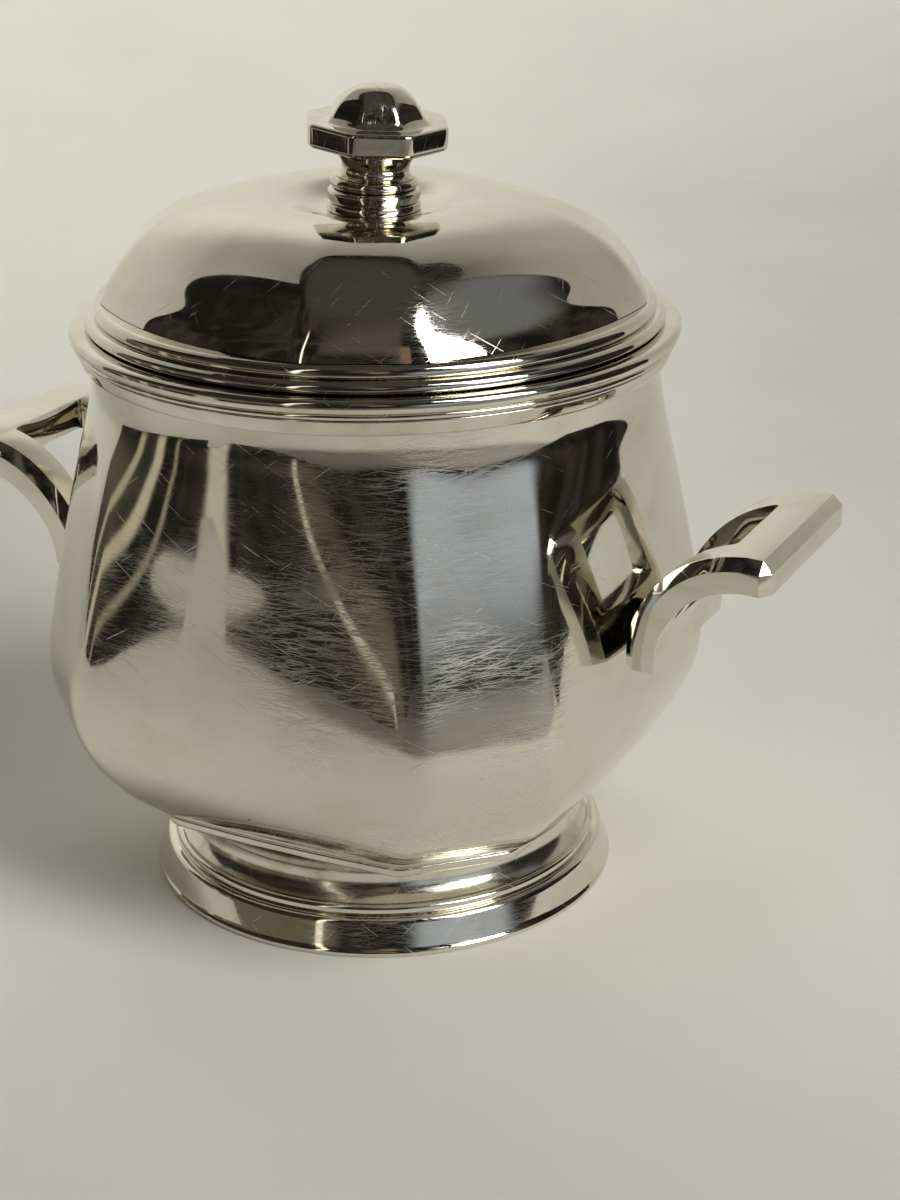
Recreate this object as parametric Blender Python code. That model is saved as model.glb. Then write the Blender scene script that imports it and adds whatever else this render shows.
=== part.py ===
"""A covered silver sugar bowl: stepped foot, faceted bowl, strap handles, and a lid with a turned finial.

Blender 4.5, metres, +Z up. The origin is the middle of the face that the bowl stands on, and +X runs
through the handles. Lengths below are in millimetres, and become metres where a mesh is made.
"""

import math

import bmesh
import bpy
from mathutils import Matrix

MM = 0.001
GAP = 0.3  # left between neighbouring pieces that are soldered together or rest on each other

# Facets. The bowl and the lid's dome are octagons with four wide facets, centred on the X and Y axes,
# and four narrow ones on the diagonals. A facet's flatness runs from 0, round, to 1, flat.
NARROW_HALF = 11.8  # half the angle of a narrow facet, in degrees
WIDE_STEPS = 6
NARROW_STEPS = 3
ROUND_STEPS = 60  # around the bowl's rings
SMALL_STEPS = 40  # around the finial's rings

# Foot
FOOT_RADIUS = 40.2
FOOT_EDGE_RADIUS = 38.6
FOOT_RING_HEIGHT = 5.9
STEP_RADIUS = 36.9
STEP_TOP = 7.6
COVE_WAIST = 33.9
COVE_TOP = 15.0
COLLAR_TOP = 16.7
FOOT_WALL = 1.2

# Bowl: (radius at the ridges between facets, height) up the outside
BOWL_OUTLINE = [(41.6, 17.0), (47.6, 21.4), (52.8, 27.0), (56.2, 33.5), (57.0, 40.0),
                (55.7, 50.0), (52.3, 65.0), (49.4, 78.0), (47.0, 89.5)]
BOWL_ROWS = 18
BOWL_WALL = 1.0
BOWL_FLOOR = 18.2
NECK_RADIUS = 46.5
FLAT_AT_FOOT = 0.85  # flatness of the wide facets at the foot, which fades to none at the neck
FLAT_FADE_END = 90.0
NARROW_FLAT = 0.95

# Rim
RIM_RADIUS = 50.0
RIM_TOP = 97.8
UPPER_BAND_FOOT = 95.8
BEAD_FOOT = 94.8
LOWER_BAND_FOOT = 92.1
LOWER_BAND_RADIUS = 48.9

# Handles: tapered straps of one thickness, bent through a right angle, with a window through the bend
STRAP_UNDERSIDE = [(56.2, 49.8), (56.7, 54.5), (58.9, 59.4), (62.4, 63.4), (66.8, 65.9), (71.2, 66.9)]
STRAP_THICK = 5.3
STRAP_REACH = 75.5
STRAP_HALF_FOOT = 15.2
STRAP_HALF_END = 18.9
STRAP_CHAMFER = 1.8
BEND_ROWS = 11
WINDOW_HALF = 10.0
WINDOW_OUTER = 67.3
WINDOW_FOOT = 57.0

# Lid, which is turned about +Z on its round seat
LID_TURN = -20.0
LID_LIFT_HEIGHT = 98.1
MOULDING_HEIGHT = 1.5
LOWER_MOULDING_RADIUS = 47.5
UPPER_MOULDING_FOOT = 99.9
UPPER_MOULDING_RADIUS = 45.8
MOULDING_BORE = 41.5
DOME_OUTLINE = [(44.8, 101.9), (43.9, 104.0), (42.0, 106.9), (38.9, 110.5), (34.6, 113.7), (28.4, 116.1),
                (21.0, 117.1), (15.0, 116.8), (11.0, 115.7), (9.0, 115.1)]  # ridges; the top is dished under the finial
DOME_ROWS = 20
DOME_WALL = 0.9
DOME_FLAT = 0.5  # flatness of its wide facets
DOME_FLAT_FOOT = 0.3  # and at the base
DOME_FLAT_RISE = 5.0  # height over which it grows
DOME_PLAIN_RADIUS = 12.0  # inside this the top is round
DOME_FULL_RADIUS = 31.0  # outside this the facets are fully formed
BEZEL_RADIUS = 44.9
BEZEL_FOOT = 90.5
BEZEL_WALL = 0.9

# Finial: a stack of turned and faceted pieces on one threaded rod
FINIAL_TURN = 51.2  # angle of one of its eight faces, against the lid's facets
ROD_RADIUS = 1.5
ROD_HOLE = 1.8
ROD_FOOT = 110.0
ROD_TOP = 131.9
FLANGE_FOOT = 115.4
FLANGE_RADIUS = 7.6
BAND_FOOT = 116.6
BAND_RADIUS = 7.5
BEAD_RING_FOOT = 118.9
BEAD_RING_RADIUS = 7.2
STEM_FOOT = 120.9
STEM_WAIST = 5.5
STEM_HEAD_RADIUS = 8.0
SLAB_FOOT = 125.9
SLAB_TOP = 129.6
SLAB_APOTHEM = 11.15
CAP_FOOT = 129.9
CAP_TOP = 135.3
NUT_FOOT = 110.9
NUT_TOP = 112.7
NUT_APOTHEM = 2.9
WASHER_FOOT = 113.0
WASHER_RADIUS = 5.0

SILVER = (0.83, 0.81, 0.76, 1.0)
TARNISHED = (0.72, 0.67, 0.56, 1.0)
STEEL = (0.55, 0.55, 0.56, 1.0)


def clear_scene():
    for obj in list(bpy.data.objects):
        bpy.data.objects.remove(obj, do_unlink=True)


def metal(name, color, roughness):
    material = bpy.data.materials.new(name)
    material.use_nodes = True
    shader = material.node_tree.nodes["Principled BSDF"]
    shader.inputs["Base Color"].default_value = color
    shader.inputs["Roughness"].default_value = roughness
    shader.inputs["Metallic"].default_value = 1.0
    return material


def smooth(points, count):
    """Count points, evenly spread by index, along a Catmull-Rom curve through the given ones."""
    first, last = points[0], points[-1]
    ends = [[2 * a - b for a, b in zip(first, points[1])], [2 * a - b for a, b in zip(last, points[-2])]]
    knots = [ends[0], *points, ends[1]]
    curve = []
    for i in range(count):
        place = i / (count - 1) * (len(points) - 1)
        span = min(int(place), len(points) - 2)
        t = place - span
        curve.append(tuple(
            0.5 * (2 * b + (c - a) * t + (2 * a - 5 * b + 4 * c - d) * t**2 + (3 * b - a - 3 * c + d) * t**3)
            for a, b, c, d in zip(*knots[span:span + 4])
        ))
    return curve


def octagon_angles():
    """Angles round an unequal octagon, in degrees, each with its facet's centre and half-angle."""
    wide_half = 45 - NARROW_HALF
    angles = []
    for quarter in range(4):
        for centre, half, steps in ((0, wide_half, WIDE_STEPS), (45, NARROW_HALF, NARROW_STEPS)):
            middle = 90 * quarter + centre
            for i in range(steps):
                angles.append((middle - half + 2 * half * i / steps, middle, half))
    return angles


def octagon_row(radius, height, wide_flat, narrow_flat):
    """One loop of points round the bowl or the dome; radius is at the ridges between the facets."""
    row = []
    for angle, middle, half in octagon_angles():
        flat = narrow_flat if half == NARROW_HALF else wide_flat
        chord = math.cos(math.radians(half)) / math.cos(math.radians(angle - middle))
        reach = radius * (1 - flat * (1 - chord))
        row.append((reach * math.cos(math.radians(angle)), reach * math.sin(math.radians(angle)), height))
    return row


def polygon_row(apothem, height, sides, turn, corner_cut=0.0):
    """One loop of points round a regular polygon with a face towards the angle turn. Its corners are
    cut off flat, corner_cut degrees to each side of them."""
    half = 180 / sides - corner_cut
    row = []
    for side in range(sides):
        for off_face in (-half, -half / 3, half / 3, half):
            reach = apothem / math.cos(math.radians(off_face))
            angle = math.radians(turn + 360 / sides * side + off_face)
            row.append((reach * math.cos(angle), reach * math.sin(angle), height))
    return row


def round_row(radius, height, count):
    return [(radius * math.cos(2 * math.pi * i / count), radius * math.sin(2 * math.pi * i / count), height)
            for i in range(count)]


def skin(name, rows, material, parent=None, closed=True):
    """One object from loops of points. A closed skin joins the last loop to the first, and an open one
    gets a flat cap at each end."""
    mesh = bmesh.new()
    loops = [[mesh.verts.new([value * MM for value in point]) for point in row] for row in rows]
    for a, b in zip(loops, loops[1:] + loops[:1] if closed else loops[1:]):
        for i in range(len(a)):
            j = (i + 1) % len(a)
            mesh.faces.new((a[i], a[j], b[j], b[i]))
    if not closed:
        mesh.faces.new(loops[0])
        mesh.faces.new(loops[-1])
    bmesh.ops.recalc_face_normals(mesh, faces=mesh.faces)
    data = bpy.data.meshes.new(name)
    mesh.to_mesh(data)
    mesh.free()
    data.materials.append(material)
    for face in data.polygons:
        face.use_smooth = True
    data.set_sharp_from_angle(angle=math.radians(20))
    obj = bpy.data.objects.new(name, data)
    bpy.context.collection.objects.link(obj)
    obj.parent = parent
    return obj


def ring(name, section, material, parent=None, count=ROUND_STEPS):
    """A closed ring, from its section's corners as (radius, height)."""
    return skin(name, [round_row(radius, height, count) for radius, height in section], material, parent)


def banded(bore, radius, low, high, edge):
    """Section of a plain band with its two outer edges rounded off."""
    return [(bore, low), (radius - edge, low), (radius, low + edge), (radius, high - edge),
            (radius - edge, high), (bore, high)]


def wide_flatness(height):
    """Flatness of the bowl's wide facets at a height."""
    rise = (height - BOWL_OUTLINE[0][1]) / (FLAT_FADE_END - BOWL_OUTLINE[0][1])
    return FLAT_AT_FOOT * (1 - min(1, max(0, rise)) ** 1.5)


def narrow_flatness(height):
    """Flatness of the bowl's narrow facets, which only fade close under the rim."""
    return NARROW_FLAT * min(1, max(0, (FLAT_FADE_END - height) / 14))


def make_foot(silver, tarnished):
    wall_foot = FOOT_RADIUS - 2.7
    ring("foot_ring", [
        (wall_foot, 0), (FOOT_RADIUS, 0), (FOOT_EDGE_RADIUS + 0.5, 0.9), (FOOT_EDGE_RADIUS + 0.1, 2.2),
        (FOOT_EDGE_RADIUS, FOOT_RING_HEIGHT - 0.4), (FOOT_EDGE_RADIUS - 0.4, FOOT_RING_HEIGHT),
        (STEP_RADIUS - 2.2, FOOT_RING_HEIGHT), (STEP_RADIUS - 2.2, FOOT_RING_HEIGHT - FOOT_WALL),
        (wall_foot - 0.3, FOOT_RING_HEIGHT - FOOT_WALL),
    ], silver)
    ring("foot_step", banded(STEP_RADIUS - 2.2, STEP_RADIUS, FOOT_RING_HEIGHT + GAP, STEP_TOP, 0.3), silver)
    cove_foot = STEP_TOP + GAP
    cove = smooth([(STEP_RADIUS - 1.0, cove_foot), (COVE_WAIST, (cove_foot + COVE_TOP) / 2 - 0.3),
                   (STEP_RADIUS - 0.8, COVE_TOP)], 7)
    inside = [(radius - FOOT_WALL, height) for radius, height in reversed(cove)]
    ring("foot_cove", cove + inside, tarnished)
    ridge = BOWL_OUTLINE[0][0] - 0.2
    rows = [
        octagon_row(radius, height, flat, flat)
        for radius, height, flat in (
            (COVE_WAIST - FOOT_WALL, COVE_TOP + GAP, 0), (ridge - 0.3, COVE_TOP + GAP, FLAT_AT_FOOT),
            (ridge, COVE_TOP + GAP + 0.4, FLAT_AT_FOOT), (ridge, COLLAR_TOP, FLAT_AT_FOOT),
            (COVE_WAIST - FOOT_WALL, COLLAR_TOP, 0),
        )
    ]
    skin("foot_collar", rows, silver)


def make_bowl(silver):
    outline = smooth(BOWL_OUTLINE, BOWL_ROWS) + [(NECK_RADIUS, LOWER_BAND_FOOT), (NECK_RADIUS, RIM_TOP)]
    outside = [octagon_row(radius, height, wide_flatness(height), narrow_flatness(height))
               for radius, height in outline]
    lining = [(radius - BOWL_WALL, height) for radius, height in outline if height > BOWL_FLOOR + 1.5]
    lining.insert(0, (lining[0][0] - 3.0, BOWL_FLOOR))
    inside = [octagon_row(radius, height, wide_flatness(height), narrow_flatness(height))
              for radius, height in reversed(lining)]
    skin("bowl", outside + inside, silver, closed=False)


def make_rim(silver):
    bore = NECK_RADIUS + GAP
    ring("rim_lower_band", [
        (bore, LOWER_BAND_FOOT), (LOWER_BAND_RADIUS - 0.9, LOWER_BAND_FOOT),
        (LOWER_BAND_RADIUS - 0.5, LOWER_BAND_FOOT + 0.4), (LOWER_BAND_RADIUS, BEAD_FOOT - GAP - 0.3),
        (LOWER_BAND_RADIUS - 0.3, BEAD_FOOT - GAP), (bore, BEAD_FOOT - GAP),
    ], silver)
    ring("rim_bead", banded(bore, RIM_RADIUS - 0.5, BEAD_FOOT, UPPER_BAND_FOOT - GAP, 0.25), silver)
    ring("rim_upper_band", [
        (bore, UPPER_BAND_FOOT), (RIM_RADIUS - 0.4, UPPER_BAND_FOOT), (RIM_RADIUS, UPPER_BAND_FOOT + 0.5),
        (RIM_RADIUS, RIM_TOP - 0.6), (RIM_RADIUS - 0.5, RIM_TOP), (bore, RIM_TOP),
    ], silver)


def strap_stations():
    """Along the strap's lower side, from its foot: (radius, height, normal's radius, normal's height, half width)."""
    bend = smooth(STRAP_UNDERSIDE, BEND_ROWS)
    end_height = STRAP_UNDERSIDE[-1][1]
    path = bend + [(STRAP_REACH - STRAP_CHAMFER, end_height), (STRAP_REACH, end_height)]
    length = [0]
    for a, b in zip(path, path[1:]):
        length.append(length[-1] + math.dist(a, b))
    stations = []
    for i, (radius, height) in enumerate(path):
        before, after = path[max(0, i - 1)], path[min(i + 1, len(path) - 1)]
        heading = math.atan2(after[1] - before[1], after[0] - before[0])
        if i in (0, len(bend) - 1):
            heading = math.pi / 2 if i == 0 else 0
        half = STRAP_HALF_FOOT + (STRAP_HALF_END - STRAP_HALF_FOOT) * length[i] / length[-1]
        stations.append((radius, height, -math.sin(heading), math.cos(heading), half))
    return stations


def make_strap(name, silver):
    """The right-hand strap, chamfered along its upper side and round its free end."""
    rows = []
    stations = strap_stations()
    thin = STRAP_THICK - STRAP_CHAMFER
    for station in stations:
        x, z, normal_x, normal_z, half = station
        narrow = half - STRAP_CHAMFER
        outline = [(-half, 0), (-half, thin), (-narrow, STRAP_THICK), (narrow, STRAP_THICK), (half, thin), (half, 0)]
        if station is stations[-1]:
            outline = [(-narrow, 0), (-narrow, thin - 0.1), (-narrow + 0.1, thin), (narrow - 0.1, thin),
                       (narrow, thin - 0.1), (narrow, 0)]
        rows.append([(x + normal_x * depth, across, z + normal_z * depth) for across, depth in outline])
    return skin(name, rows, silver, closed=False)


def make_window_cutter():
    mesh = bmesh.new()
    low = (STRAP_UNDERSIDE[0][0] - 10, -WINDOW_HALF, WINDOW_FOOT)
    high = (WINDOW_OUTER, WINDOW_HALF, STRAP_UNDERSIDE[-1][1] + 10)
    size = Matrix.Diagonal([(b - a) * MM for a, b in zip(low, high)] + [1])
    middle = Matrix.Translation([(a + b) / 2 * MM for a, b in zip(low, high)])
    bmesh.ops.create_cube(mesh, size=1, matrix=middle @ size)
    data = bpy.data.meshes.new("window_cutter")
    mesh.to_mesh(data)
    mesh.free()
    cutter = bpy.data.objects.new("window_cutter", data)
    bpy.context.collection.objects.link(cutter)
    cutter.hide_render = True
    cutter.display_type = "WIRE"
    return cutter


def make_handles(silver):
    cutter = make_window_cutter()
    for name, turn in (("handle_right", 0), ("handle_left", math.pi)):
        strap = make_strap(name, silver)
        window = strap.modifiers.new("window", "BOOLEAN")
        window.object = cutter
        window.solver = "EXACT"
        if turn:
            turned = cutter.copy()
            turned.name = "window_cutter_left"
            bpy.context.collection.objects.link(turned)
            turned.rotation_euler.z = turn
            window.object = turned
        strap.rotation_euler.z = turn


def make_lid(lid, silver):
    ring("lid_lower_moulding", banded(MOULDING_BORE, LOWER_MOULDING_RADIUS, LID_LIFT_HEIGHT,
                                      LID_LIFT_HEIGHT + MOULDING_HEIGHT, 0.5), silver, lid)
    ring("lid_upper_moulding", banded(MOULDING_BORE, UPPER_MOULDING_RADIUS, UPPER_MOULDING_FOOT,
                                      DOME_OUTLINE[0][1] - GAP, 0.5), silver, lid)
    bezel_top = LID_LIFT_HEIGHT - GAP
    ring("lid_bezel", [(BEZEL_RADIUS - BEZEL_WALL, BEZEL_FOOT), (BEZEL_RADIUS - 0.4, BEZEL_FOOT),
                       (BEZEL_RADIUS, BEZEL_FOOT + 0.6), (BEZEL_RADIUS, bezel_top),
                       (BEZEL_RADIUS - BEZEL_WALL, bezel_top)], silver, lid)
    make_dome(lid, silver)


def dome_row(radius, height):
    formed = min(1, max(0, (radius - DOME_PLAIN_RADIUS) / (DOME_FULL_RADIUS - DOME_PLAIN_RADIUS)))
    rise = min(1, (height - DOME_OUTLINE[0][1]) / DOME_FLAT_RISE)
    flat = DOME_FLAT_FOOT + (DOME_FLAT - DOME_FLAT_FOOT) * rise
    return octagon_row(radius, height, flat * formed, NARROW_FLAT * formed)


def make_dome(lid, silver):
    outline = smooth(DOME_OUTLINE, DOME_ROWS)
    crown = outline[-1][1]
    outside = [dome_row(radius, height) for radius, height in outline + [(ROD_HOLE, crown)]]
    middle = (0, outline[0][1])
    lining = []
    for radius, height in outline:
        reach = math.hypot(radius - middle[0], (height - middle[1]) * 2)
        lining.append((radius * (1 - DOME_WALL / reach), middle[1] + (height - middle[1]) * (1 - DOME_WALL / 14)))
    inside = [dome_row(radius, height) for radius, height in reversed(lining + [(ROD_HOLE, lining[-1][1])])]
    skin("lid_dome", outside + inside, silver, lid)


def make_finial(lid, silver, steel):
    ring("knob_flange", banded(ROD_HOLE, FLANGE_RADIUS, FLANGE_FOOT, BAND_FOOT - GAP, 0.2), silver, lid, SMALL_STEPS)
    ring("knob_band", banded(ROD_HOLE, BAND_RADIUS, BAND_FOOT, BEAD_RING_FOOT - GAP, 0.35), silver, lid, SMALL_STEPS)
    bead_height = (STEM_FOOT - GAP - BEAD_RING_FOOT) / 2
    bead = [(ROD_HOLE, BEAD_RING_FOOT)]
    for i in range(7):
        turn = math.pi * (i / 6 - 0.5)
        bead.append((BEAD_RING_RADIUS - bead_height * (1 - math.cos(turn)),
                     BEAD_RING_FOOT + bead_height * (1 + math.sin(turn))))
    bead.append((ROD_HOLE, STEM_FOOT - GAP))
    ring("knob_bead", bead, silver, lid, SMALL_STEPS)
    stem_top = SLAB_FOOT - GAP
    waist = smooth([(STEM_WAIST + 0.7, STEM_FOOT), (STEM_WAIST, STEM_FOOT + 1.0), (STEM_WAIST + 0.3, STEM_FOOT + 2.2),
                    (STEM_WAIST + 1.2, stem_top - 1.2), (STEM_HEAD_RADIUS, stem_top)], 11)
    ring("knob_stem", waist + [(ROD_HOLE, stem_top), (ROD_HOLE, STEM_FOOT)], silver, lid, SMALL_STEPS)
    slab = [(0.95, SLAB_FOOT), (1.0, SLAB_FOOT + 0.4), (1.0, SLAB_TOP - 0.3), (0.975, SLAB_TOP)]
    rows = [polygon_row(SLAB_APOTHEM * scale, height, 8, FINIAL_TURN, 3.0) for scale, height in slab]
    rows += [polygon_row(ROD_HOLE, height, 8, FINIAL_TURN, 3.0) for height in (SLAB_TOP, SLAB_FOOT)]
    skin("knob_slab", rows, silver, lid)
    make_cap(lid, silver)
    make_fixing(lid, steel)


def make_cap(lid, silver):
    """The faceted dome on top of the finial, with a blind hole for the rod."""
    outline = smooth([(8.8, CAP_FOOT), (7.7, CAP_FOOT + 0.9), (6.9, CAP_FOOT + 2.2), (5.5, CAP_TOP - 1.7),
                      (3.7, CAP_TOP - 0.7), (1.8, CAP_TOP - 0.15), (0.6, CAP_TOP)], 13)
    rows = [polygon_row(ROD_HOLE, height, 8, FINIAL_TURN, 3.0) for height in (ROD_TOP + GAP, CAP_FOOT)]
    for radius, height in outline:
        flat = min(1, max(0, (CAP_TOP - height) / (CAP_TOP - CAP_FOOT)))
        apothem = radius * (1 - flat * (1 - math.cos(math.pi / 8)))
        row = polygon_row(apothem, height, 8, FINIAL_TURN, 3.0)
        rows.append([[value * (flat + (1 - flat) * radius / math.hypot(*point[:2])) for value in point[:2]]
                     + [height] for point in row])
    skin("knob_cap", rows, silver, lid, closed=False)


def make_fixing(lid, steel):
    """The threaded rod that holds the finial together, with its washer and nut inside the lid."""
    skin("knob_rod", [round_row(radius, height, SMALL_STEPS) for radius, height in (
        (ROD_RADIUS - 0.3, ROD_FOOT), (ROD_RADIUS, ROD_FOOT + 0.3), (ROD_RADIUS, ROD_TOP - 0.3),
        (ROD_RADIUS - 0.3, ROD_TOP))], steel, lid, closed=False)
    ring("knob_washer", banded(ROD_HOLE, WASHER_RADIUS, WASHER_FOOT, WASHER_FOOT + 0.7, 0.15), steel, lid, SMALL_STEPS)
    rows = [polygon_row(NUT_APOTHEM, height, 6, 0, 4.0) for height in (NUT_FOOT, NUT_TOP)]
    rows += [polygon_row(ROD_HOLE, height, 6, 0, 4.0) for height in (NUT_TOP, NUT_FOOT)]
    skin("knob_nut", rows, steel, lid)


def main():
    clear_scene()
    silver = metal("silver", SILVER, 0.12)
    tarnished = metal("tarnished_silver", TARNISHED, 0.25)
    steel = metal("steel", STEEL, 0.35)
    make_foot(silver, tarnished)
    make_bowl(silver)
    make_rim(silver)
    make_handles(silver)
    lid = bpy.data.objects.new("lid_axis", None)
    bpy.context.collection.objects.link(lid)
    lid.rotation_euler.z = math.radians(LID_TURN)
    make_lid(lid, silver)
    make_finial(lid, silver, steel)


main()
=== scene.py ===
"""Looks for the silver sugar bowl: fine surfaces and polished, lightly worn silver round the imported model.

Lengths in the tables below are in millimetres. Radii of faceted surfaces are measured at the ridges
between the facets.
"""

import math

import bmesh
import bpy
import numpy as np
from mathutils import Matrix, Vector


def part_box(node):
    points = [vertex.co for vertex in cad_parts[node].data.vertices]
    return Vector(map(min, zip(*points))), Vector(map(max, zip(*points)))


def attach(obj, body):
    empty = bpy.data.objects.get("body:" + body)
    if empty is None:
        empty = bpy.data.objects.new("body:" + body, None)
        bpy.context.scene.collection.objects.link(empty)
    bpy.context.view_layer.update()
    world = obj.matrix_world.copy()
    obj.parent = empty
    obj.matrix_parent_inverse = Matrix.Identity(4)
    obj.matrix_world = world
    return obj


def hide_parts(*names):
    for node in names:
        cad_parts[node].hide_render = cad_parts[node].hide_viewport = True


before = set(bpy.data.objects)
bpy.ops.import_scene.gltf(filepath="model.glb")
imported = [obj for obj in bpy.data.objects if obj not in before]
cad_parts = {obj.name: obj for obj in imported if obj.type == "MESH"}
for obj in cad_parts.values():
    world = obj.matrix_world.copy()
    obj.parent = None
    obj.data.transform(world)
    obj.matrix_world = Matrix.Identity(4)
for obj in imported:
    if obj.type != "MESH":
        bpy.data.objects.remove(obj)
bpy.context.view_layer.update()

MM = 0.001
STEPS = 192  # points round a surface
BLUR = 1.3  # how far a ridge between two facets is rounded, in degrees
SHARP = math.radians(32)  # edges steeper than this are shaded as sharp ones
STRAP_SHARP = math.radians(40)

LID_TURN = -20.0  # the lid is drawn turned on its seat by this much, in degrees
FINIAL_FACE = 51.2  # direction of one of the slab's eight sides, in degrees
LEAN = (4.3, -18.0)  # the finial is bent by this much, towards this direction, in degrees
DENT = 1.2  # the top of the dome leans the same way by this much, in degrees

# (radius, height, flatness of the wide facets, of the narrow ones, half-angle of a narrow facet)
BOWL = [(41.6, 17.1, 0.86, 0.95, 13.8), (47.4, 21.4, 0.84, 0.95, 13.2), (52.6, 27.0, 0.8, 0.95, 12.4),
        (56.0, 33.5, 0.76, 0.95, 11.8), (56.95, 40.0, 0.72, 0.95, 11.6), (55.7, 49.5, 0.64, 0.95, 11.5),
        (52.6, 64.0, 0.47, 0.93, 11.5), (49.5, 77.0, 0.21, 0.75, 11.5), (48.15, 82.0, 0.1, 0.45, 11.5),
        (47.25, 85.5, 0.02, 0.2, 11.5), (46.85, 88.5, 0.0, 0.05, 11.5), (47.15, 92.3, 0.0, 0.0, 11.5)]
DOME = [(44.8, 101.85, 0.3, 0.85, 11.5), (44.0, 104.0, 0.38, 0.85, 11.5), (42.1, 106.9, 0.48, 0.88, 11.5),
        (39.0, 110.5, 0.52, 0.9, 11.5), (34.7, 113.75, 0.5, 0.88, 11.5), (28.4, 116.1, 0.42, 0.75, 11.5),
        (21.5, 117.1, 0.22, 0.4, 11.5), (15.8, 117.05, 0.05, 0.1, 11.5), (12.0, 116.1, 0.0, 0.0, 11.5),
        (9.4, 115.3, 0.0, 0.0, 11.5), (6.0, 115.1, 0.0, 0.0, 11.5)]
FOOT_FACETS = (0.86, 0.95, 13.8)  # the last three of those values, for the collar and the underside
NARROW_HALF = 11.5
BOWL_BASE, BOWL_FLOOR, BOWL_TOP = 16.97, 18.2, 97.6
BOWL_WALL = 1.0
DOME_SEAT = 101.8
DOME_WALL = 0.9

STRAP_THICK, STRAP_CHAMFER, STRAP_END_THICK = 5.3, 1.8, 3.5
STRAP_HALF_WIDTH = (15.2, 18.9)  # at the foot and at the free end
WINDOW = ((45, -10.0, 57), (67.3, 10.0, 80))  # opposite corners of the block that cuts it
BORE = 1.8  # the finial's pieces have this hole for the rod


# ---------------------------------------------------------------- shapes


def spline(points, count):
    """Count points along a natural cubic spline, whose curvature has no jumps for a reflection to show."""
    knots = np.array(points, float)
    along = np.concatenate([[0], np.cumsum(np.linalg.norm(np.diff(knots[:, :2], axis=0), axis=1))])
    gap = np.diff(along)
    size = len(along)
    system = np.eye(size)
    target = np.zeros_like(knots)
    for i in range(1, size - 1):
        system[i, i - 1:i + 2] = gap[i - 1], 2 * (gap[i - 1] + gap[i]), gap[i]
        target[i] = 6 * ((knots[i + 1] - knots[i]) / gap[i] - (knots[i] - knots[i - 1]) / gap[i - 1])
    bend = np.linalg.solve(system, target)
    curve = []
    for place in np.linspace(0, along[-1], count):
        i = min(np.searchsorted(along, place, side="right") - 1, size - 2)
        left, right = along[i + 1] - place, place - along[i]
        curve.append((bend[i] * left**3 + bend[i + 1] * right**3) / (6 * gap[i])
                     + (knots[i] / gap[i] - bend[i] * gap[i] / 6) * left
                     + (knots[i + 1] / gap[i] - bend[i + 1] * gap[i] / 6) * right)
    return np.array(curve)


def rounded(corners, steps=5):
    """Closed outline from corners (radius, height, rounding), each rounded by a short curve."""
    outline = []
    for i, (x, z, size) in enumerate(corners):
        if not size:
            outline.append((x, z))
            continue
        ends = []
        for other in (corners[i - 1], corners[(i + 1) % len(corners)]):
            share = min(size / math.dist((x, z), other[:2]), 0.49)
            ends.append((x + (other[0] - x) * share, z + (other[1] - z) * share))
        (ax, az), (bx, bz) = ends
        for k in range(steps + 1):
            t = k / steps
            outline.append(((1 - t)**2 * ax + 2 * t * (1 - t) * x + t * t * bx,
                            (1 - t)**2 * az + 2 * t * (1 - t) * z + t * t * bz))
    return outline


def facet_depths(half):
    """How far a flat wide facet and a flat narrow one lie inside the round, as shares of the radius."""
    count = 8 * 360
    fine = np.arange(count) / 8
    wide, narrow = np.zeros(count), np.zeros(count)
    for depths, centre, reach in ((wide, 0, 45 - half), (narrow, 45, half)):
        off = (fine - centre + 45) % 90 - 45
        inside = np.abs(off) < reach
        depths[inside] = 1 - math.cos(math.radians(reach)) / np.cos(np.radians(off[inside]))
    away = np.minimum(fine, 360 - fine)
    kernel = np.exp(-0.5 * (away / BLUR)**2)
    kernel = np.fft.rfft(kernel / kernel.sum())
    spread = [np.fft.irfft(np.fft.rfft(depths) * kernel, count) for depths in (wide, narrow)]
    return [depths[::count // STEPS] for depths in spread]


def faceted_ring(radius, height, wide_flat, narrow_flat, half):
    """A level ring of points with four wide facets and four narrow ones; a flatness of 0 is round."""
    wide, narrow = facet_depths(half)
    reach = radius * (1 - wide_flat * wide - narrow_flat * narrow)
    turn = 2 * np.pi * np.arange(STEPS) / STEPS
    return np.stack([reach * np.cos(turn), reach * np.sin(turn), np.full(STEPS, height)], 1)


def round_ring(radius, height):
    return faceted_ring(radius, height, 0, 0, NARROW_HALF)


def polygon_ring(apothem, height, flat):
    """An octagon with softened corners; flat runs from 0, round, to 1."""
    turn = 360 * np.arange(STEPS) / STEPS
    off = (turn + 22.5) % 45 - 22.5
    reach = apothem / np.cos(np.radians(off))
    corner = apothem / math.cos(math.radians(19.8))
    cut = corner * math.cos(math.radians(2.7)) / np.cos(np.radians(22.5 - np.abs(off)))
    reach = np.minimum(reach, cut)
    reach = apothem + (reach - apothem) * flat
    turn = np.radians(turn + FINIAL_FACE)
    return np.stack([reach * np.cos(turn), reach * np.sin(turn), np.full(STEPS, height)], 1)


def is_lid(node):
    return node.startswith(("lid", "knob"))


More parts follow.
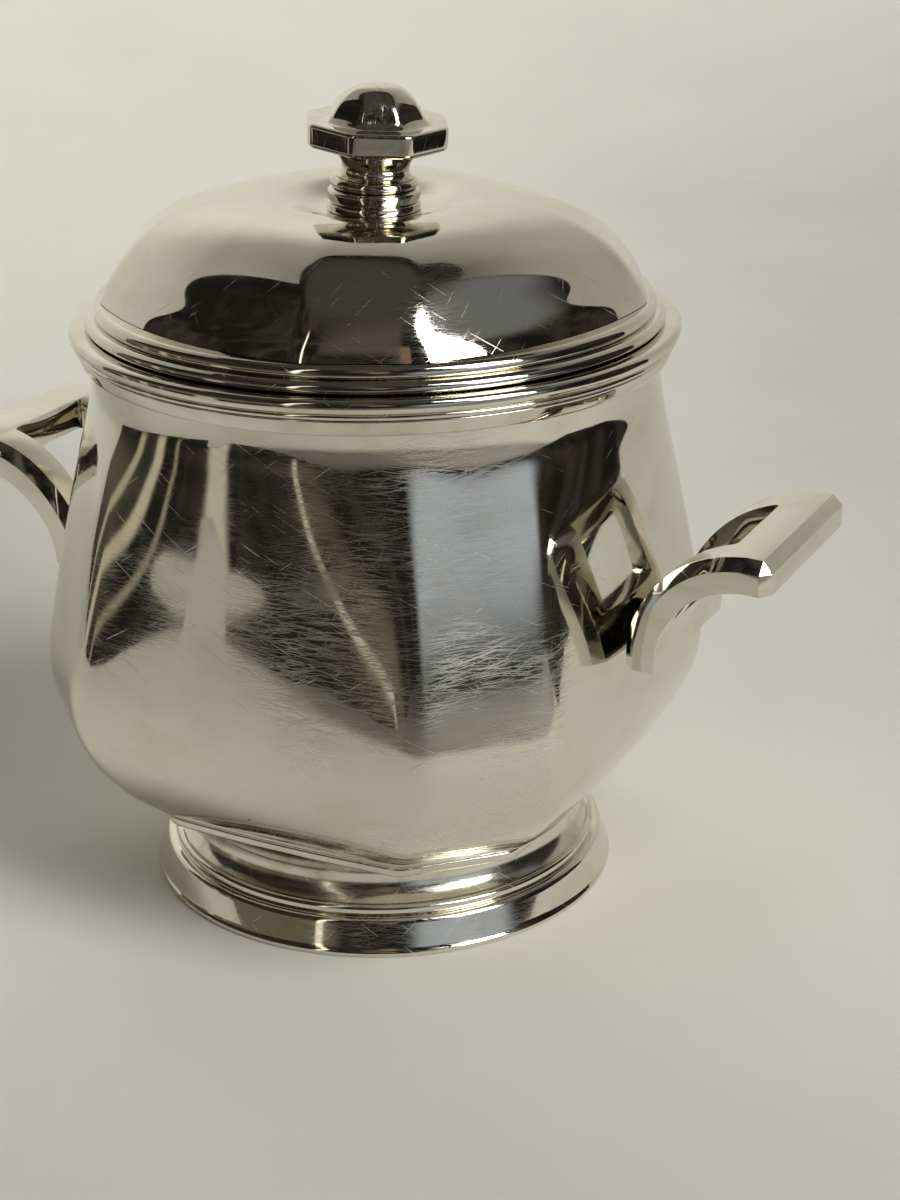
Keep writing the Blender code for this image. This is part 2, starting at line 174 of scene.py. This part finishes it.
def make_piece(name, node, points, faces):
    """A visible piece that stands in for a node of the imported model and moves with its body."""
    mesh = bpy.data.meshes.new(name)
    mesh.from_pydata((np.asarray(points) * MM).tolist(), [], faces)
    mesh.validate()
    tidy = bmesh.new()
    tidy.from_mesh(mesh)
    bmesh.ops.recalc_face_normals(tidy, faces=tidy.faces)
    tidy.to_mesh(mesh)
    tidy.free()
    mesh.shade_smooth()
    mesh.set_sharp_from_angle(angle=SHARP)
    piece = bpy.data.objects.new(name, mesh)
    bpy.context.scene.collection.objects.link(piece)
    if is_lid(node):
        mesh.transform(Matrix.Rotation(math.radians(LID_TURN), 4, "Z"))
    if node.startswith("knob"):
        bend_finial(mesh)
    if node == "lid_dome":
        lean_dome(mesh)
    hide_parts(node)
    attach(piece, "lid_body" if is_lid(node) else "bowl_body")
    return piece


def skin(name, node, rings, closed=True):
    """A piece from rings of points. A closed skin joins the last ring to the first; an open one is capped."""
    count = len(rings)
    steps = len(rings[0])
    faces = []
    for a in range(count if closed else count - 1):
        b = (a + 1) % count
        for i in range(steps):
            j = (i + 1) % steps
            faces.append((a * steps + i, a * steps + j, b * steps + j, b * steps + i))
    if not closed:
        faces.append(tuple(range(steps)))
        faces.append(tuple(range((count - 1) * steps, count * steps)))
    return make_piece(name, node, np.concatenate(rings), faces)


def lathe(name, node, outline):
    """A round piece from the closed outline of its section."""
    return skin(name, node, [round_ring(radius, height) for radius, height in outline])


def bend_finial(mesh):
    """Bends the finial over by a few degrees, from its flange up."""
    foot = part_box("knob_flange")[0].z
    towards = math.radians(LEAN[1])
    axis = Vector((-math.sin(towards), math.cos(towards), 0))
    for vertex in mesh.vertices:
        rise = min(1, max(0, (vertex.co.z - foot - 0.0005) / 0.006))
        turn = Matrix.Rotation(math.radians(LEAN[0]) * rise * rise * (3 - 2 * rise), 3, axis)
        pivot = Vector((0, 0, foot))
        vertex.co = turn @ (vertex.co - pivot) + pivot


def lean_dome(mesh):
    """Tips the top of the dome over slightly; its edge and the finial's seat stay where they are."""
    towards = math.radians(LEAN[1])
    for vertex in mesh.vertices:
        radius = math.hypot(vertex.co.x, vertex.co.y) / MM
        share = min(1, max(0, (43 - radius) / 11)) * min(1, max(0, (radius - 9) / 8))
        reach = vertex.co.x * math.cos(towards) + vertex.co.y * math.sin(towards)
        vertex.co.z -= math.tan(math.radians(DENT)) * reach * share * share * (3 - 2 * share)


# ---------------------------------------------------------------- the bowl's pieces


def base_ring(radius, height, share):
    """A ring with the facets of the bowl's base, at this share of their depth."""
    wide, narrow, half = FOOT_FACETS
    return faceted_ring(radius, height, wide * share, narrow * share, half)


def foot_pieces():
    ring = rounded([(37.4, 0, 0), (40.0, 0, 0.3), (40.15, 0.7, 0.5), (39.7, 1.3, 0.5), (38.35, 5.55, 0.5),
                    (37.9, 5.95, 0.3), (35.2, 6.1, 0), (34.9, 4.8, 0), (37.1, 4.6, 0)])
    yield lathe("foot_flange", "foot_ring", ring)
    step = rounded([(34.8, 6.0, 0), (36.7, 6.0, 0.2), (37.0, 6.35, 0.25), (36.9, 7.3, 0.3),
                    (36.3, 7.75, 0.3), (34.8, 7.75, 0)])
    yield lathe("foot_bead", "foot_step", step)
    cove = spline([(35.9, 7.7), (34.75, 8.7), (33.95, 10.2), (33.75, 11.6), (34.2, 13.1), (35.1, 14.4),
                   (36.4, 15.4)], 30)
    wall = [(radius - 1.2, height) for radius, height in cove[::-1]]
    yield lathe("foot_hollow", "foot_cove", [*map(tuple, cove), *wall])
    collar = rounded([(32.8, 15.3, 0), (41.1, 15.3, 0.2), (41.4, 15.7, 0.25), (41.3, 16.7, 0.25),
                      (40.8, 16.95, 0), (32.8, 16.95, 0)])
    rings = [base_ring(radius, height, min(1, max(0, (radius - 34) / 4))) for radius, height in collar]
    yield skin("foot_joint", "foot_collar", rings)


def bowl_piece():
    """The vessel's skin, from the middle of its underside up the outside and down the inside."""
    outline = spline(BOWL, 110)
    base = [base_ring(0.5, BOWL_BASE, 0), base_ring(20, BOWL_BASE, 0), base_ring(40.6, BOWL_BASE, 1),
            base_ring(41.3, 17.0, 1)]
    outside = [faceted_ring(*row) for row in outline]
    lip = [round_ring(46.6, BOWL_TOP), round_ring(45.6, BOWL_TOP)]
    inside = [faceted_ring(row[0] - BOWL_WALL, row[1], *row[2:]) for row in outline if row[1] > 20]
    floor = [round_ring(radius, BOWL_FLOOR) for radius in (0.5, 12, 24)]
    floor += [faceted_ring(40.2, BOWL_FLOOR, 0.8, 0.9, 13.6), faceted_ring(42.5, 18.5, 0.8, 0.9, 13.6)]
    return skin("bowl_shell", "bowl", base + outside + lip + (floor + inside)[::-1], closed=False)


def rim_pieces():
    lower = rounded([(46.7, 91.9, 0), (47.9, 91.9, 0.3), (48.3, 92.4, 0.4), (48.75, 93.6, 0.5),
                     (48.95, 94.5, 0.25), (46.7, 94.65, 0)])
    yield lathe("rim_fillet", "rim_lower_band", lower)
    bead = rounded([(46.7, 94.65, 0), (49.1, 94.65, 0.25), (49.5, 95.15, 0.45), (49.2, 95.65, 0.25),
                    (46.7, 95.65, 0)])
    yield lathe("rim_round", "rim_bead", bead)
    upper = rounded([(46.7, 95.65, 0), (49.5, 95.7, 0.2), (50.0, 96.3, 0.5), (49.95, 97.3, 0.5),
                     (49.4, 97.8, 0.4), (46.7, 97.8, 0)])
    yield lathe("rim_edge", "rim_upper_band", upper)


def strap_rows():
    """Sections along the right-hand strap: foot, bend, plate and free end."""
    under = spline([(56.2, 49.8), (56.6, 54.4), (58.9, 59.4), (62.4, 63.4), (66.8, 65.9), (71.2, 66.9)], 44)
    path = [*map(tuple, under), (73.9, 66.9), (75.5, 66.9)]
    length = np.concatenate([[0], np.cumsum([math.dist(a, b) for a, b in zip(path, path[1:])])])
    rows = []
    for i, (radius, height) in enumerate(path):
        before, after = path[max(0, i - 1)], path[min(i + 1, len(path) - 1)]
        heading = math.atan2(after[1] - before[1], after[0] - before[0])
        if i == 0:
            heading = math.pi / 2
        half = np.interp(length[i], (0, length[-1]), STRAP_HALF_WIDTH)
        thick, cut = STRAP_THICK, STRAP_CHAMFER
        if i == len(path) - 1:
            half, thick, cut = half - STRAP_CHAMFER, STRAP_END_THICK, 0.05
        section = [(-half, 0), (-half, thick - cut), (cut - half, thick), (half - cut, thick),
                   (half, thick - cut), (half, 0)]
        rows.append(np.array([(radius - math.sin(heading) * depth, across, height + math.cos(heading) * depth)
                              for across, depth in section]))
    return rows


def cut_window(mesh):
    """Cuts the rectangular window through the strap's bend."""
    cutter = bmesh.new()
    low, high = (Vector(corner) * MM for corner in WINDOW)
    bmesh.ops.create_cube(cutter, size=1, matrix=Matrix.LocRotScale((low + high) / 2, None, high - low))
    along_side = [edge for edge in cutter.edges if abs(edge.verts[0].co.y - edge.verts[1].co.y) < 1e-6]
    corners = [edge for edge in along_side
               if min(v.co.x for v in edge.verts) > 0.06 or max(v.co.z for v in edge.verts) < 0.06]
    bmesh.ops.bevel(cutter, geom=corners, offset=0.8 * MM, segments=3, profile=0.5, affect="EDGES")
    shape = bpy.data.meshes.new("window")
    cutter.to_mesh(shape)
    cutter.free()
    tool = bpy.data.objects.new("window", shape)
    solid = bpy.data.objects.new("strap", mesh)
    for helper in (tool, solid):
        bpy.context.scene.collection.objects.link(helper)
    cut = solid.modifiers.new("window", "BOOLEAN")
    cut.object = tool
    soften = solid.modifiers.new("edges", "BEVEL")
    soften.width = 0.35 * MM
    soften.segments = 3
    soften.angle_limit = math.radians(28)
    bpy.context.view_layer.update()
    made = bpy.data.meshes.new_from_object(solid.evaluated_get(bpy.context.evaluated_depsgraph_get()))
    for helper in (tool, solid):
        bpy.data.objects.remove(helper)
    return made


def handle_pieces():
    """Both handles, from one pierced strap that is turned half round for the left one."""
    blank = skin("strap_blank", "handle_right", strap_rows(), closed=False)
    mesh = cut_window(blank.data)
    bpy.data.objects.remove(blank)
    mesh.shade_smooth()
    mesh.set_sharp_from_angle(angle=STRAP_SHARP)
    for name, node, turn in (("strap_right", "handle_right", 0), ("strap_left", "handle_left", math.pi)):
        shape = mesh.copy()
        shape.transform(Matrix.Rotation(turn, 4, "Z"))
        piece = bpy.data.objects.new(name, shape)
        bpy.context.scene.collection.objects.link(piece)
        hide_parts(node)
        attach(piece, "bowl_body")
        yield piece


# ---------------------------------------------------------------- the lid's pieces


def lid_pieces():
    lower = rounded([(42.0, 98.0, 0), (47.1, 98.0, 0.3), (47.5, 98.5, 0.4), (47.3, 99.3, 0.35),
                     (46.6, 99.75, 0.2), (42.0, 99.75, 0)])
    yield lathe("lid_edge", "lid_lower_moulding", lower)
    upper = rounded([(42.0, 99.75, 0), (45.5, 99.75, 0.3), (45.9, 100.3, 0.5), (45.6, 101.3, 0.4),
                     (44.9, 101.75, 0.3), (42.0, DOME_SEAT, 0)])
    yield lathe("lid_step", "lid_upper_moulding", upper)
    bezel = rounded([(44.0, 90.6, 0.2), (44.7, 90.6, 0.3), (44.9, 91.3, 0), (44.9, 97.9, 0), (44.0, 97.9, 0)])
    yield lathe("lid_collar", "lid_bezel", bezel)
    outline = spline(DOME, 90)
    outside = [faceted_ring(*row) for row in outline]
    inside = []
    for row in outline[::-1]:
        rise = row[1] - DOME_SEAT
        reach = math.hypot(row[0], rise * 2)
        inside.append(faceted_ring(row[0] * (1 - DOME_WALL / reach), DOME_SEAT + rise * 0.93, *row[2:]))
    yield skin("lid_shell", "lid_dome", outside + inside)


def finial_pieces():
    flange = rounded([(BORE, 115.15, 0), (7.5, 115.15, 0.15), (7.65, 115.6, 0.2), (7.5, 116.4, 0.2),
                      (BORE, 116.45, 0)])
    yield lathe("finial_disc", "knob_flange", flange)
    band = rounded([(BORE, 116.4, 0), (7.1, 116.4, 0.2), (7.5, 116.9, 0.3), (7.5, 118.3, 0.3),
                    (7.0, 118.7, 0.2), (BORE, 118.75, 0)])
    yield lathe("finial_band", "knob_band", band)
    bead = rounded([(BORE, 118.75, 0), (6.7, 118.75, 0.4), (7.25, 119.6, 0.9), (6.6, 120.65, 0.5),
                    (BORE, 120.7, 0)], 8)
    yield lathe("finial_bead", "knob_bead", bead)
    waist = spline([(6.4, 120.7), (5.6, 121.3), (5.5, 122.2), (5.9, 123.4), (6.9, 124.7), (8.6, 125.8)], 24)
    yield lathe("finial_stem", "knob_stem", [*map(tuple, waist), (BORE, 125.8), (BORE, 120.7)])
    slab = rounded([(BORE, 125.75, 0), (10.5, 125.75, 0.3), (11.1, 126.2, 0.35), (11.15, 129.35, 0.35),
                    (10.75, 129.65, 0.2), (BORE, 129.7, 0)])
    rings = [polygon_ring(radius, height, min(1, radius / 8)) for radius, height in slab]
    yield skin("finial_slab", "knob_slab", rings)
    cap = spline([(9.7, 129.62), (8.7, 129.85), (7.85, 130.6), (7.3, 131.5), (6.5, 132.6), (5.2, 133.8),
                  (3.6, 134.7), (1.8, 135.1), (0.15, 135.2)], 40)
    rings = [polygon_ring(BORE, 132.2, 1), polygon_ring(BORE, 129.6, 1)]
    for radius, height in cap:
        flat = min(1, max(0, (135.3 - height) / 3.2)) * min(1, 0.25 + max(0, height - 129.6) / 1.5)
        rings.append(polygon_ring(radius * (1 - 0.06 * flat), height, flat))
    yield skin("finial_cap", "knob_cap", rings, closed=False)


# ---------------------------------------------------------------- materials

SILVER = (0.77, 0.735, 0.645, 1.0)
TARNISH = (0.44, 0.35, 0.2, 1.0)
PIT = (0.06, 0.045, 0.03, 1.0)
STEEL = (0.5, 0.5, 0.51, 1)
PAPER = (0.72, 0.715, 0.66, 1)
# PAPER_SHADE is the colour of the painted shade and shadow on the paper.
PAPER_SHADE = (0.16, 0.155, 0.14, 1)

# piece: (wear, tarnish, roughness of the polish)
LOOKS = {"bowl_shell": (1.0, 0.22, 0.025), "foot_hollow": (0.3, 0.85, 0.13), "foot_flange": (0.6, 0.3, 0.03),
         "lid_shell": (0.35, 0.2, 0.02), "finial_stem": (0.4, 0.9, 0.05)}
OTHER_LOOK = (0.4, 0.45, 0.035)

# (angle in degrees, length in m, width in m, share of the surface)
HAIRLINES = [(2, 0.008, 0.00015, 0.7), (-8, 0.006, 0.00014, 0.6), (13, 0.006, 0.00015, 0.5),
             (-42, 0.004, 0.00013, 0.16), (66, 0.004, 0.00013, 0.18)]
DEEP_SCRATCHES = [(34, 0.007, 0.0002, 0.0), (-28, 0.008, 0.0002, -0.05)]
AROUND = 0.05  # metres round the surface for each radian
RUBBED_SIDE = (-0.069, -0.03)  # where round the surface the polish is most worn, in m


class Graph:
    """Short names for making and joining shader nodes."""

    def __init__(self, tree):
        self.tree = tree

    def node(self, kind, *inputs, **settings):
        made = self.tree.nodes.new(kind)
        for key, value in settings.items():
            setattr(made, key, value)
        for socket, value in zip(made.inputs, inputs):
            self.feed(socket, value)
        return made

    def feed(self, socket, value):
        if isinstance(value, bpy.types.NodeSocket):
            self.tree.links.new(value, socket)
        elif value is not None:
            socket.default_value = value

    def math(self, operation, *inputs):
        return self.node("ShaderNodeMath", *inputs, operation=operation).outputs[0]

    def times(self, *inputs):
        return self.math("MULTIPLY", *inputs)

    def total(self, first, *others):
        for other in others:
            first = self.math("ADD", first, other)
        return first

    def step(self, value, low, high, bottom=0.0, top=1.0):
        """Rises smoothly from bottom to top as value goes from low to high."""
        kind = "ShaderNodeMapRange"
        return self.node(kind, value, low, high, bottom, top, interpolation_type="SMOOTHSTEP").outputs[0]

    def between(self, value, low, high, soft):
        """One between low and high, and zero outside, with soft ends."""
        rise = self.step(value, low - soft, low + soft)
        return self.times(rise, self.step(value, high - soft, high + soft, 1.0, 0.0))

    def noise(self, vector, scale, detail=2.0, rough=0.5):
        made = self.node("ShaderNodeTexNoise", noise_dimensions="3D")
        self.feed(made.inputs["Vector"], vector)
        made.inputs["Scale"].default_value = scale
        made.inputs["Detail"].default_value = detail
        made.inputs["Roughness"].default_value = rough
        return made.outputs[0]

    def vector(self, x, y, z):
        return self.node("ShaderNodeCombineXYZ", x, y, z).outputs[0]

    def mix(self, share, a, b):
        made = self.node("ShaderNodeMix", data_type="RGBA")
        for index, value in ((0, share), (6, a), (7, b)):
            self.feed(made.inputs[index], value)
        return made.outputs[2]


def scratch_layers(graph, u, v, seed, layers):
    """Thin straight lines on the surface, one layer for each row of the table."""
    total = None
    for index, (angle, length, width, share) in enumerate(layers):
        c, s = math.cos(math.radians(angle)), math.sin(math.radians(angle))
        along = graph.total(graph.times(u, c / length), graph.times(v, s / length))
        across = graph.math("SUBTRACT", graph.times(v, c / width), graph.times(u, s / width))
        lines = graph.noise(graph.vector(along, across, seed + 7.3 * index), 1.0, 0.0)
        cut = 0.5 + 0.27 * (1 - share)
        mark = graph.step(lines, cut, cut + 0.07)
        total = mark if total is None else graph.math("MAXIMUM", total, mark)
    return total


def new_material(name, metallic):
    """A material with its graph, its shader and the point being shaded."""
    material = bpy.data.materials.new(name)
    material.use_nodes = True
    graph = Graph(material.node_tree)
    shader = material.node_tree.nodes["Principled BSDF"]
    shader.inputs["Metallic"].default_value = metallic
    return material, graph, shader, graph.node("ShaderNodeTexCoord").outputs["Object"]


def add_bump(graph, shader, distance, height):
    bump = graph.node("ShaderNodeBump", 1.0, distance)
    graph.feed(bump.inputs["Height"], height)
    graph.feed(shader.inputs["Normal"], bump.outputs[0])


def silver(name, seed, wear, tarnish, gloss):
    """Polished silver with hairline scratches, cloudy patches, brown tarnish and a few pits."""
    material, graph, shader, place = new_material(name, 1.0)
    x, y, z = graph.node("ShaderNodeSeparateXYZ", place).outputs
    u = graph.times(graph.math("ARCTAN2", y, x), AROUND)
    hairs = scratch_layers(graph, u, z, seed, HAIRLINES)
    areas = graph.step(graph.noise(place, 38.0, 2.0), 0.42, 0.62)
    hairs = graph.times(hairs, graph.total(graph.times(areas, 0.6), 0.4))
    rubbed = graph.total(graph.between(u, *RUBBED_SIDE, 0.012), 0.3)
    hairs = graph.times(graph.times(hairs, rubbed), wear)
    deep = scratch_layers(graph, u, z, seed + 40, DEEP_SCRATCHES)
    cloud = graph.step(graph.noise(place, 55.0, 5.0, 0.62), 0.5, 0.72)
    film = graph.noise(graph.vector(u, graph.times(z, 1.6), seed), 70.0, 4.0, 0.6)
    film = graph.step(film, 0.45, 0.75)
    pits = graph.node("ShaderNodeTexVoronoi", place, feature="F1")
    pits.inputs["Scale"].default_value = 130.0
    spot = graph.step(pits.outputs["Distance"], 0.035, 0.06, 1.0, 0.0)
    rare = graph.node("ShaderNodeSeparateColor", pits.outputs["Color"]).outputs[0]
    spot = graph.times(spot, graph.math("GREATER_THAN", rare, 0.86))
    rough = graph.total(gloss, graph.times(hairs, 0.3), graph.times(cloud, 0.05), graph.times(deep, 0.22),
                        graph.times(spot, 0.3))
    graph.feed(shader.inputs["Roughness"], rough)
    colour = graph.mix(graph.times(film, tarnish), SILVER, TARNISH)
    colour = graph.mix(graph.times(spot, 0.8), colour, PIT)
    graph.feed(shader.inputs["Base Color"], colour)
    marks = graph.total(graph.times(hairs, 0.4), deep, graph.times(spot, 1.5))
    dents = graph.times(graph.noise(place, 60.0, 1.0), 8.0)
    add_bump(graph, shader, 0.0000015, graph.math("SUBTRACT", dents, marks))
    return material


def steel(name):
    """Plain machined steel, with fine turning marks."""
    material, graph, shader, place = new_material(name, 1.0)
    shader.inputs["Base Color"].default_value = STEEL
    graph.feed(shader.inputs["Roughness"], graph.step(graph.noise(place, 900.0, 3.0), 0.3, 0.7, 0.25, 0.45))
    rings = graph.node("ShaderNodeTexWave", place, bands_direction="Z")
    rings.inputs["Scale"].default_value = 700.0
    add_bump(graph, shader, 0.00002, rings.outputs[0])
    return material


def paper():
    """Warm white paper, with shade painted on the side where the photographer stood, a shadow painted to the left
    of the bowl, and painted shade to its right and towards the front edge.
    """
    material, graph, shader, place = new_material("paper", 0.0)
    shader.inputs["Roughness"].default_value = 0.7
    x, y, _ = graph.node("ShaderNodeSeparateXYZ", place).outputs
    reach = graph.math("SQRT", graph.total(graph.times(x, x), graph.times(y, y)))
    # Painted shade: the paper darkens in front of the bowl and away from it, where the photographer stood.
    painted_shade = graph.times(graph.step(reach, 0.23, 0.29), graph.step(y, -0.24, -0.16, 1.0, 0.0))
    # Painted shade: the paper darkens towards the front edge.
    near = graph.step(y, -0.16, -0.03, 0.16, 0.0)
    # Painted shadow of the bowl on the paper to its left.
    left = graph.times(graph.step(x, -0.13, -0.02, 0.3, 0.0), graph.between(y, 0.04, 0.25, 0.04))
    # Painted shade on the paper to the right of the bowl and behind it.
    right = graph.times(graph.step(x, 0.0, 0.16, 0.0, 0.2), graph.between(y, 0.05, 0.6, 0.1))
    wave = graph.times(graph.math("SUBTRACT", graph.noise(place, 11.0, 5.0, 0.6), 0.5), 0.22)
    # The tone mixes random mottling with the painted shade and shadow.
    tone = graph.total(wave, graph.times(painted_shade, 0.8), near, left, right)
    graph.feed(shader.inputs["Base Color"], graph.mix(tone, PAPER, PAPER_SHADE))
    add_bump(graph, shader, 0.0006, graph.noise(place, 14.0, 4.0))
    return material


# ---------------------------------------------------------------- stage, light and camera

CAMERA_TURN = 28.2  # the camera stands this far round from -Y, towards +X
CAMERA = (0.3772, 0.1983)  # distance and height
AIM = (1.81, 21.87, -0.30)  # yaw to the right, pitch down, roll
FOCAL = 47.26
SENSOR = 24

SWEEP_REACH, SWEEP_BEND, SWEEP_TOP = 0.45, 0.4, 1.45  # the paper behind the bowl, in m
SWEEP_TURNS = [math.radians(turn) for turn in range(-67, 68, 2)]
# (to the right, away from the camera), in m; the rest of the edge is the start of the bend
PAPER_LEFT = [(-0.3, -1.8), (-0.25, -0.55), (-0.195, -0.29), (-0.19, -0.21), (-0.225, -0.16), (-0.36, -0.195),
              (-0.36, -0.165), (-0.26, -0.125), (-0.31, -0.09), (-0.36, -0.03), (-0.42, 0.06), (-0.42, 0.17)]
PAPER_RIGHT = [(0.42, 0.17), (0.33, 0.03), (0.34, -0.1), (0.6, -0.3), (1.05, -0.67), (1.5, -2.4)]
BARE_REACH, BARE_DROP = 3, -0.0005

DARK, DIM = (0.012, 0.011, 0.009, 1), (0.045, 0.04, 0.032, 1)
BACKDROP = (0.52, 0.515, 0.48, 1)
# (side from, to, softness, rise from, to, softness, colour); angles in degrees
ROOM = [
    (-200, 200, 1, 62, 100, 6, (0.055, 0.052, 0.042, 1)),  # ceiling
    (-118, -24, 4, -6, 12, 4, (0.13, 0.115, 0.08, 1)),  # furniture to the left
    (-68, -60, 1.5, -20, -3, 3, (0.5, 0.47, 0.38, 1)),  # light through the gaps in it
    (-94, -90, 1.0, -14, 8, 3, (0.5, 0.45, 0.33, 1)),
    (-104, -101, 1.0, -12, 2, 3, (0.4, 0.36, 0.26, 1)),
    (-84, -82.5, 0.6, -14, 8, 3, (0.3, 0.27, 0.2, 1)),
    (-33, -31.3, 0.6, -11, 4, 2, (0.5, 0.47, 0.38, 1)),
    (-34, -30.5, 0.7, 5, 54, 3, (1.6, 1.5, 1.3, 1)),  # narrow window
    (-12, -2, 3, 26, 62, 5, (0.09, 0.08, 0.065, 1)),  # the photographer
    (-3, 5, 1.5, 16, 36, 3, (0.22, 0.15, 0.11, 1)),
    (14, 62, 6, 0.5, 16, 3, (0.42, 0.465, 0.52, 1)),  # sill and sky under the wide window
    (62, 116, 6, 40, 57, 5, (0.16, 0.165, 0.17, 1)),  # pale wall to the right
]

BOWL_MIDDLE = (0, 0, 0.06)
# (name, side, rise, distance, width, height, power, colour, aimed at, mirrored by the silver)
LIGHTS = [
    ("window_right", 48, 42, 1.3, 0.5, 0.95, 13.5, (1.0, 0.99, 0.96), BOWL_MIDDLE, True),
    ("window_left", -75, 50, 1.5, 0.8, 0.8, 1.2, (1.0, 0.98, 0.94), BOWL_MIDDLE, False),
    ("back_left", -165, 55, 0.8, 0.4, 0.4, 1.7, (1.0, 0.99, 0.96), (-0.25, 0.75, 0.2), False),
]


def view_frame():
    """Axes of the stage: right, away from the camera, up."""
    return Matrix.Rotation(math.radians(CAMERA_TURN), 4, "Z")


def make_camera():
    yaw, pitch, roll = (math.radians(angle) for angle in AIM)
    forward = Vector((math.sin(yaw) * math.cos(pitch), math.cos(yaw) * math.cos(pitch), -math.sin(pitch)))
    right = Vector((math.cos(yaw), -math.sin(yaw), 0))
    up = right.cross(forward)
    right, up = right * math.cos(roll) + up * math.sin(roll), up * math.cos(roll) - right * math.sin(roll)
    matrix = Matrix((right, up, -forward)).transposed().to_4x4()
    matrix.translation = (0, -CAMERA[0], CAMERA[1])
    data = bpy.data.cameras.new("camera")
    data.sensor_fit = "VERTICAL"
    data.sensor_height = SENSOR
    data.lens = FOCAL
    data.clip_start = 0.01
    camera = bpy.data.objects.new("camera", data)
    camera.matrix_world = view_frame() @ matrix
    bpy.context.scene.collection.objects.link(camera)
    bpy.context.scene.camera = camera


def make_sheet(name, points, faces, look):
    mesh = bpy.data.meshes.new(name)
    mesh.from_pydata(points, [], faces)
    mesh.shade_smooth()
    mesh.materials.append(look)
    sheet = bpy.data.objects.new(name, mesh)
    sheet.matrix_world = view_frame()
    bpy.context.scene.collection.objects.link(sheet)
    return sheet


def make_floor():
    """A sheet of paper under the bowl that curves up behind it. The bare floor round it isn't mirrored."""
    look = paper()
    near = [(SWEEP_REACH * math.sin(a), SWEEP_REACH * math.cos(a)) for a in SWEEP_TURNS]
    edge = PAPER_LEFT + near + PAPER_RIGHT
    make_sheet("paper_front", [(x, y, 0) for x, y in edge], [tuple(range(len(edge)))], look)
    bend = [math.pi / 32 * i for i in range(17)]
    profile = [(SWEEP_REACH + 0.45 * math.sin(a), SWEEP_BEND - SWEEP_BEND * math.cos(a)) for a in bend]
    profile.append((profile[-1][0], SWEEP_TOP))
    points = [(reach * math.sin(a), reach * math.cos(a), z) for reach, z in profile for a in SWEEP_TURNS]
    wide = len(SWEEP_TURNS)
    faces = [(i * wide + k, i * wide + k + 1, (i + 1) * wide + k + 1, (i + 1) * wide + k)
             for i in range(len(profile) - 1) for k in range(wide - 1)]
    make_sheet("paper_sweep", points, faces, look)
    bare = [(x * BARE_REACH, y * BARE_REACH, BARE_DROP) for x, y in ((-1, -1), (1, -1), (1, 1), (-1, 1))]
    make_sheet("bare_floor", bare, [(0, 1, 2, 3)], look).visible_glossy = False


def make_room():
    """The dim room that the silver mirrors. Directions are degrees to the right of the camera and above level."""
    world = bpy.data.worlds.new("room")
    bpy.context.scene.world = world
    world.use_nodes = True
    graph = Graph(world.node_tree)
    place = graph.node("ShaderNodeTexCoord").outputs["Generated"]
    turn = graph.node("ShaderNodeVectorRotate", place, rotation_type="Z_AXIS")
    turn.inputs["Angle"].default_value = math.radians(-CAMERA_TURN)
    x, y, z = graph.node("ShaderNodeSeparateXYZ", turn.outputs[0]).outputs
    side = graph.times(graph.math("ARCTAN2", x, graph.times(y, -1.0)), 180 / math.pi)
    rise = graph.times(graph.math("ARCSINE", z), 180 / math.pi)
    colour = graph.mix(graph.step(graph.noise(place, 5.0, 3.0, 0.6), 0.4, 0.7), DARK, DIM)
    for low, high, soft, bottom, top, soft_rise, tint in ROOM:
        area = graph.times(graph.between(side, low, high, soft), graph.between(rise, bottom, top, soft_rise))
        colour = graph.mix(area, colour, tint)
    background = world.node_tree.nodes["Background"]
    seen = graph.node("ShaderNodeLightPath").outputs["Is Camera Ray"]
    graph.feed(background.inputs["Color"], graph.mix(seen, colour, BACKDROP))
    background.inputs["Strength"].default_value = 1.0


def make_lights():
    """Windows as area lights, and one that only brightens the paper behind the bowl."""
    for name, side, rise, away, width, height, power, colour, target, mirrored in LIGHTS:
        data = bpy.data.lights.new(name, "AREA")
        data.shape = "RECTANGLE"
        data.size, data.size_y = width, height
        data.energy = power
        data.color = colour
        a, e = math.radians(side), math.radians(rise)
        spot = Vector((math.sin(a) * math.cos(e), -math.cos(a) * math.cos(e), math.sin(e))) * away
        light = bpy.data.objects.new(name, data)
        aim = (Vector(target) - spot).to_track_quat("-Z", "Y").to_matrix().to_4x4()
        light.matrix_world = view_frame() @ (Matrix.Translation(spot) @ aim)
        light.visible_glossy = mirrored
        bpy.context.scene.collection.objects.link(light)


# ---------------------------------------------------------------- assembly


def dress():
    """Makes every visible piece and gives each one its own silver."""
    pieces = [bowl_piece(), *foot_pieces(), *rim_pieces(), *handle_pieces(), *lid_pieces(), *finial_pieces()]
    for seed, piece in enumerate(pieces):
        look = silver(piece.name + "_silver", 3.1 * seed, *LOOKS.get(piece.name, OTHER_LOOK))
        piece.data.materials.clear()
        piece.data.materials.append(look)
    for node in ("knob_rod", "knob_washer", "knob_nut"):
        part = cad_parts[node]
        part.data.materials.clear()
        part.data.materials.append(steel(node + "_steel"))


dress()
make_floor()
make_room()
make_lights()
make_camera()
bpy.context.scene.view_settings.view_transform = "Standard"
